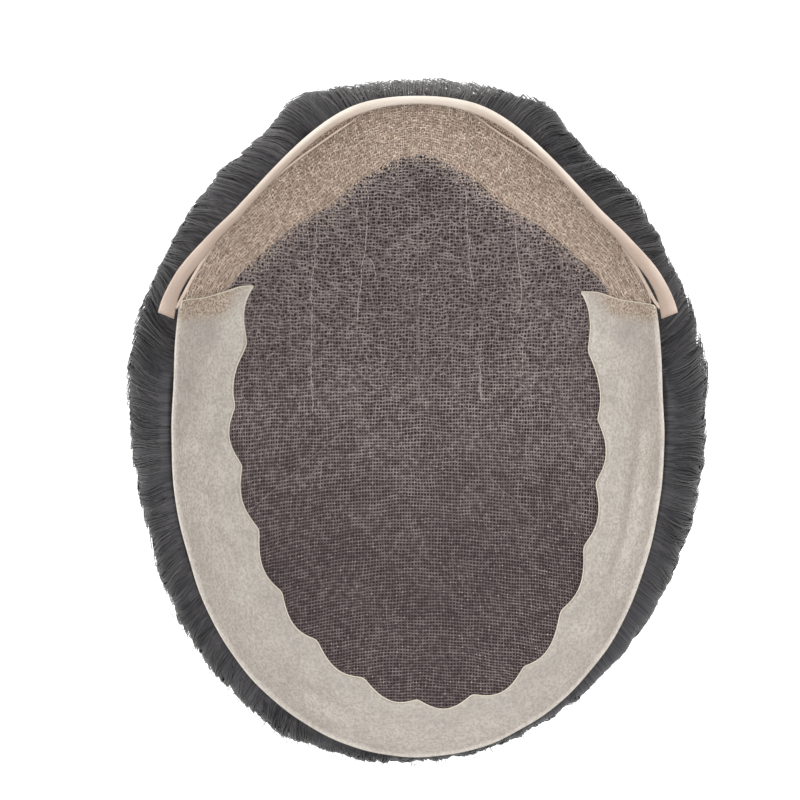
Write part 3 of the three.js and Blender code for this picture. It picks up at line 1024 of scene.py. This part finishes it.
# %% Finish of the skin
skin_finish = Finish("clear_film_over_gauze", 0.42, 0.45)
mottle = skin_finish.between(skin_finish.noise(11 * mm, 3), 0.25, 0.75)
cool = skin_finish.mix(mottle, colour(192, 186, 175), colour(212, 207, 196))
warm = skin_finish.mix(mottle, colour(193, 183, 173), colour(213, 204, 194))
grain = skin_finish.between(skin_finish.noise(0.85 * mm, 2), 0.4, 0.6)
pale = skin_finish.between(skin_finish.noise(1.6 * mm, 2, (1, 1.8, 1)), 0.5, 0.68)
tan_weave = skin_finish.between(skin_finish.noise(0.65 * mm, 2), 0.36, 0.64)
tan = skin_finish.mix(tan_weave, colour(134, 116, 101), colour(204, 188, 172))
# Paler along the edges: the cut edge's own paleness with a painted highlight.
edge_pale_and_highlight = skin_finish.between(skin_finish.attribute("near_edge"), 0.2, 1.2)
# Over the gauze: grain, pale streaks, the grey patch with painted shade, the tan lace under the front
# ends, and the pale edge with its painted highlight.
skin_finish.paint_layers(skin_finish.mix(skin_finish.attribute("outwards"), cool, warm), [
    (skin_finish.up_to(190, grain), colour(148, 141, 134)),
    (skin_finish.up_to(185, pale), colour(214, 210, 202)),
    (skin_finish.up_to(190, skin_finish.attribute("shade")), colour(150, 143, 139)),
    (skin_finish.attribute("over_lace"), tan),
    (edge_pale_and_highlight, colour(212, 206, 194)),
])
skin_finish.bump(skin_finish.noise(0.7 * mm, 3), 0.25 * mm, 0.8)
skin_finish.put_on(skin)

noise_finish(
    "cut_film_edge", 0.35, 0.5, 3 * mm, colour(205, 196, 182), colour(226, 216, 200), skin_bead,
)

# %% [markdown]
# ## The hair
#
# Hair leaves the cap just under the rim, runs outwards, bends over a soft shoulder and lies down
# under the piece. A closed shell with lapping locks gives the body, and keeps the solid's form.
# Thousands of strands then follow it, gathered into thin clumps that share a wave and a tone.

# %% Section of the hair
hair_overhang = 13 * mm
hair_top_share = 0.985
shoulder_drop = 0.72
least_shoulder = 5 * mm
foot_share = 0.44
lock_count = 40
lock_height = 2 * mm
lock_swirl = 14
lock_swing = 3
lock_profile = np.array([0, 1, 0.6, 0])

# How far the hair reaches past the rim, as a share of the overhang
hair_reach = curve_through([
    (0, 0.42), (14, 0.6), (27, 0.9), (36, 0.72), (50, 0.98), (64, 0.74), (76, 0.98),
    (86, 1.12), (104, 1.04), (122, 0.84), (138, 0.6), (152, 0.42), (172, 0.34), (190, 0.42),
    (206, 0.62), (220, 0.8), (236, 0.86), (250, 0.9), (266, 1.06), (278, 1.1), (288, 0.9),
    (297, 0.74), (312, 0.98), (325, 0.74), (336, 0.92), (347, 0.6),
], loops=True)


def hair_top(turn):
    under_hem = hem_inner_share(turn) - seam_gap / rim_reach(turn)
    return under_hem + (hair_top_share - under_hem) * behind_ear(turn)


def hair_section(turn, angle):
    """The distance from the axis, the height and the outward direction of the hair's section.
    The angle is 0 at the rim, 90 at the widest place and 180 at the foot."""
    top = wall(turn, hair_top(turn), hair_level) - cap_place
    start = np.hypot(top[..., 0], top[..., 1])
    overhang = hair_overhang * hair_reach(turn)
    widest = rim_reach(turn) + overhang
    shoulder = np.maximum(least_shoulder, shoulder_drop * overhang)
    foot = foot_share * rim_reach(turn)
    a, b = np.radians(angle), np.radians(angle - 90)
    on_shoulder = angle <= 90
    reach = np.where(
        on_shoulder, start + (widest - start) * np.sin(a), foot + (widest - foot) * np.cos(b)
    )
    height = np.where(
        on_shoulder,
        top[..., 2] - shoulder * (1 - np.cos(a)),
        (top[..., 2] - shoulder) * (1 - np.sin(b)),
    )
    return reach, height, np.sin(a), np.cos(a)


def lock_lift(lock_turn, angle):
    """How far a lock's ridge lifts the surface. Its turn is where the lock leaves the rim."""
    down = np.maximum(angle - 90, 0) / 90
    rise = np.minimum(angle / 70, 1) * (1 - down**4)
    place = np.mod(lock_turn, 360) / 360 * lock_count
    lock, within = np.floor(place), (place - np.floor(place)) * 3
    step = np.minimum(within.astype(int), 2)
    ridge = lock_profile[step] + (lock_profile[step + 1] - lock_profile[step]) * (within - step)
    full = 0.7 + 0.3 * np.sin(2.4 * lock)
    return lock_height * rise * full * (ridge - 0.5)


def hair_place(lock_turn, angle, lift, lean=0.0):
    """A point of the hair: lifted off the section, with the locks' sway down to the foot."""
    down = np.maximum(angle - 90, 0) / 90
    turn = lock_turn + lock_swirl * down + lock_swing * np.sin(2 * math.pi * down) + lean
    reach, height, out, up = hair_section(turn, angle)
    plan = unit(rim_point(turn)) * (reach + lift * out)[..., None]
    z = np.maximum(height + lift * up, 0)
    return np.concatenate([plan, z[..., None]], -1) + cap_place * (1, 1, 0)


# %% Body of the hair
body_inner_rings = 12
body_columns = 600
body_rings = 52

# How far the loose strands stand out of the body at the shoulder, in millimetres
fringe = curve_through([
    (0, 3.0), (12, 2.6), (20, 1.8), (31, 4.4), (37.5, 1.0), (48, 1.8), (60, 1.0), (72, 1.4), (80, 2.4),
    (90, 1.0), (104, 0.8), (118, -0.8), (128, -2.2), (140, -1.8), (160, -1.2), (180, -1.2),
    (190, -0.4), (202, -0.8), (210, 0.6), (222, -0.8), (232, 0.6), (244, 1.4), (262, 0.8),
    (284, 2.1), (292, 1.4), (302, 2.3), (308, 1.5), (318, 2.6), (324, 2.4), (331, 4.6),
    (337, 2.4), (343, 1.6), (352, 2.6),
], loops=True)

# How far the body is drawn in from the hair's section at the shoulder, in millimetres
body_trim = curve_through([
    (0, 2.8), (14, 1.8), (22, -0.4), (32, -3.3), (38, 0.2), (60, 0.2), (110, 0.9), (135, 2.4),
    (180, 2.2), (210, 1.4), (222, 1.6), (240, 0.5), (300, -0.4), (320, -1.2), (331, -3.4),
    (340, -0.6), (346, 1.2),
], loops=True)


def on_hair(a, b):
    turn = 360 * a
    ring = b * body_rings
    inner_share = np.sin(np.minimum(ring / body_inner_rings, 1) * rim_steepness)
    inner_share = inner_share / math.sin(rim_steepness) * hair_top(turn)
    inner = wall(turn, inner_share, hair_level)
    angle = np.clip((ring - body_inner_rings) / (body_rings - 2 - body_inner_rings), 0, 1) * 180
    bend = np.sin(np.radians(angle))
    lift = 0.5 * lock_lift(turn, angle) - body_trim(turn) * mm * bend
    outer = hair_place(turn, angle, lift)
    closing_ring = ring > body_rings - 1.5
    outer[closing_ring] = cap_place * (1, 1, 0)
    return np.where((ring <= body_inner_rings)[:, None], inner, outer)


hair_body = lay_cloth("hair_body", body_columns, body_rings, on_hair, closes=True)
body_points = points_of(hair_body)
body_turn, _ = plan_of(body_points)
body_height = body_points[:, 2]

# Streaks run down the hair, because its height hardly moves the noise that colours them
comb_radius = 90 * mm
comb_height = 55 * mm
comb_stretch = 0.05
swirl = body_turn - lock_swirl * np.clip(1 - body_height / comb_height, 0, 1)
comb = np.stack([
    comb_radius * np.cos(np.radians(swirl)), comb_radius * np.sin(np.radians(swirl)),
    body_height * comb_stretch,
], -1)
paint(hair_body, "middle", np.exp(-((from_front(body_turn) / 14) ** 2)))
layer = hair_body.data.attributes.new("comb", "FLOAT_VECTOR", "POINT")
layer.data.foreach_set("vector", comb.astype(np.float32).ravel())

# %% [markdown]
# The strands start under the rim and run with their clump. In front they sweep away from the middle
# towards the sides, and by the ears they sweep forward, as the photograph shows.

# %% Strands
clump_count = 230
strand_points = 14
strand_pieces = 4
strands_in_piece = 1150
strand_radius = 0.15 * mm
strand_ends = (128, 179)

# How far strands lean round the cap by the time they reach the shoulder, in degrees of turn
strand_lean = curve_through([
    (0, 0), (10, 2), (25, 5), (45, 4.5), (60, 2), (72, -3), (85, -2), (100, 0), (130, 1),
    (180, 0), (230, -1), (260, 0), (275, 2.5), (288, 3.5), (300, -1.5), (315, -4.5), (335, -5),
    (350, -2),
], loops=True)


def strands(count, seed):
    rng = np.random.default_rng(seed)
    turn = (np.arange(count) + rng.random(count)) * 360 / count
    clump = np.floor(turn / 360 * clump_count).astype(int)
    centre = (clump + 0.5) * 360 / clump_count
    by_clump = np.random.default_rng(7)
    clump_phase = by_clump.uniform(0, 2 * math.pi, clump_count + 1)[clump]
    clump_tone = by_clump.normal(0, 0.1, clump_count + 1)[clump]
    clump_lift = by_clump.uniform(-0.35, 0.35, clump_count + 1)[clump] * mm
    t = np.linspace(0, 1, strand_points)[None, :]
    end = rng.uniform(*strand_ends, count)[:, None]
    angle = 1 + (end - 1) * t**0.8
    gather = 0.3 * smooth_step(angle / 80)
    lock_turn = turn[:, None] + (centre - turn)[:, None] * gather
    lean = strand_lean(turn)[:, None] * smooth_step(angle / 75)
    wave = 0.45 * np.sin(angle / 24 + clump_phase[:, None]) * smooth_step(angle / 50)
    stray = rng.normal(0, 0.4, count)[:, None] * (angle / 90)
    depth = rng.random(count)[:, None]
    outer = fringe(lock_turn + lean) * mm
    inner = -body_trim(lock_turn) * mm
    lift = inner + (outer - inner) * depth**1.3 + clump_lift[:, None]
    lift = lift * smooth_step(angle / 45) - 0.15 * mm + 0.5 * lock_lift(lock_turn, angle)
    points = hair_place(lock_turn, angle, lift, lean + wave + stray)
    taper = strand_radius * (0.5 + 0.5 * np.minimum(1, (1 - t) * 4))
    # Strands are painted dark at the root, as painted shade under the rim, and paler out to where they
    # bend over the shoulder, as a painted highlight.
    tone = 0.2 + clump_tone[:, None] + rng.normal(0, 0.12, count)[:, None]
    tone = tone + 0.4 * smooth_step(angle / 70)
    middle = np.exp(-((from_front(turn) / 15) ** 2))[:, None]
    tone = tone + 1.3 * middle * (0.4 + 0.6 * depth) * smooth_step(angle / 60)
    sideways = np.cross(np.array([0, 0, 1.0]), points * (1, 1, 0))
    return tube_shell(points, taper, tone, side_hint=unit(sideways))


hair_pieces = []
for number in range(strand_pieces):
    shell = strands(strands_in_piece, 100 + number)
    hair_pieces.append(tubes(f"hair_strands_{number + 1}", [shell]))


# %% Loose hairs
loose_points = 9


def flyaways(count, seed, turn_range, length_range, curl, radius, tone):
    """Single hairs that leave the shoulder and curl in the air."""
    rng = np.random.default_rng(seed)
    turn = rng.uniform(*turn_range, count)
    t = np.linspace(0, 1, loose_points)
    start_angle = rng.uniform(35, 95, count)
    root = hair_place(turn, start_angle, fringe(turn) * mm * 0.4 - 0.6 * mm)
    out = np.concatenate([unit(rim_point(turn)), np.zeros((count, 1))], -1)
    side = np.cross(out, np.array([0, 0, 1.0])) * rng.choice([-1.0, 1.0], count)[:, None]
    up = np.array([0, 0, 1.0])[None]
    length = rng.uniform(*length_range, count)[:, None] * mm
    bend = rng.uniform(*curl, count)[:, None] * t[None]
    tilt = rng.uniform(-0.5, 0.4, count)
    first = unit(out + rng.normal(0, 0.5, count)[:, None] * side + tilt[:, None] * up)
    second = unit(side + rng.normal(0, 0.35, count)[:, None] * up)
    step = length / (loose_points - 1)
    heading = (
        first[:, None] * np.cos(bend)[..., None] + second[:, None] * np.sin(bend)[..., None]
    )
    legs = heading * step[..., None]
    points = root[:, None] + np.cumsum(legs, axis=1) - legs[:, :1]
    points[..., 2] = np.maximum(points[..., 2], 0.3 * mm)
    taper = radius * (1 - 0.6 * t)[None]
    return tube_shell(points, taper, tone + rng.normal(0, 0.1, count)[:, None])


# Each row has a count, a seed, a range of turns, of lengths in mm and of bends, a radius and a tone
loose = tubes("hair_flyaways", [
    flyaways(700, 201, (-16, 15), (2.5, 6), (1.5, 5.0), 0.08 * mm, 0.85),
    flyaways(160, 202, (-40, 40), (2, 5), (0.5, 3.0), 0.06 * mm, 0.7),
    flyaways(260, 203, (0, 360), (2, 5), (0.2, 1.8), 0.06 * mm, 0.7),
    flyaways(120, 204, (205, 250), (4, 9), (0.3, 2.2), 0.06 * mm, 0.6),
    flyaways(60, 205, (160, 205), (3, 7), (0.3, 2.5), 0.06 * mm, 0.6),
])

# %% Finish of the hair
tone_finish(
    "dark_strands", 0.45, 0.5, (0, 1.5), colour(40, 38, 43), colour(124, 122, 121), *hair_pieces,
)
tone_finish(
    "loose_hairs", 0.5, 0.4, (0.4, 1), colour(76, 74, 76), colour(176, 174, 172), loose,
)

body_finish = Finish("dark_hair_body", 0.6, 0.35)
combed = body_finish.attribute("comb", "Vector")
streaks = body_finish.between(body_finish.noise(0.5 * mm, 3, vector=combed), 0.3, 0.7)
front = body_finish.attribute("middle")
body_dark = body_finish.mix(front, colour(34, 33, 37), colour(78, 77, 78))
body_light = body_finish.mix(front, colour(76, 74, 77), colour(140, 138, 137))
body_finish.paint_with(body_finish.mix(streaks, body_dark, body_light))
body_finish.bump(streaks, 0.25 * mm, 0.7)
body_finish.put_on(hair_body)

# %% [markdown]
# ## Floor and light
#
# The hairpiece lies on a plain white floor under soft light from all round, as in a product
# photograph. Two wide panels, above the right of the front and to the left, add a soft sheen.

# %% Floor and light
floor_size = 3
floor_white = 0.93
floor_glow = 0.75
room_glow = 0.75

bpy.ops.mesh.primitive_plane_add(size=floor_size, location=(0, 0, 0))
floor = bpy.context.object
floor.name = "floor"
floor_finish = Finish("white_floor", 0.9, 0.1)
floor_finish.shader.inputs["Base Color"].default_value = (floor_white, floor_white, floor_white, 1)
floor_finish.shader.inputs["Emission Color"].default_value = (1, 1, 1, 1)
floor_finish.shader.inputs["Emission Strength"].default_value = floor_glow
floor_finish.put_on(floor)


def panel(name, place, size, power):
    bpy.ops.object.light_add(type="AREA", location=place)
    light = bpy.context.object
    light.name = name
    light.data.shape = "DISK"
    light.data.size = size
    light.data.energy = power
    aim = Vector((0, 0, 0.03)) - Vector(place)
    light.rotation_euler = aim.to_track_quat("-Z", "Y").to_euler()


panel("soft_top", (0.5, 0.5, 1.5), 1.0, 12)
panel("soft_left", (-1.0, 0.2, 1.1), 0.8, 7)
world = bpy.data.worlds.new("soft_room")
world.use_nodes = True
world.node_tree.nodes["Background"].inputs["Color"].default_value = (1, 1, 1, 1)
world.node_tree.nodes["Background"].inputs["Strength"].default_value = room_glow
bpy.context.scene.world = world
bpy.context.scene.view_settings.view_transform = "Standard"

# %% [markdown]
# ## Joining the pieces to the frame
#
# Every piece rides on the one body and stands for the solid that it covers, which is hidden.
# The base's size over its surface and the areas of the cloths are printed.

# %% Bodies and sizes
pieces_of_node = {
    "mesh_center": ("mono_mesh", [mesh_ground, mesh_net, mesh_net_along, knots, stitches]),
    "lace_front": ("lace", [lace_ground, lace_net, lace_flecks]),
    "lace_hem": ("hem_lace", [hem, hem_fold]),
    "skin_perimeter": ("clear_skin", [skin, skin_bead]),
    "hair": ("dark_hair", [hair_body, *hair_pieces, loose]),
}
for node, (slot, pieces) in pieces_of_node.items():
    for piece in pieces:
        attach(piece, "root")
        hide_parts(node)


def arc_length(turn):
    """The length over the cap's surface from the crown to the rim."""
    line = wall(turn, np.linspace(0, 1, 200), 0)
    return float(np.linalg.norm(np.diff(line, axis=0), axis=1).sum())


def surface(piece):
    return round(sum(polygon.area for polygon in piece.data.polygons) / 2 * 1e4)


base_width = arc_length(90.0) + arc_length(270.0)
base_length = arc_length(0.0) + arc_length(180.0)
print("the base over its surface", round(base_width / mm), "by", round(base_length / mm), "mm")
for cloth in (mesh_ground, lace_ground, hem, skin):
    print(cloth.name, surface(cloth), "square centimetres")

# %% Sizes
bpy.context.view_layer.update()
total = sum(triangle_count(o) for _, group in pieces_of_node.values() for o in group)
print("triangles in all", total)
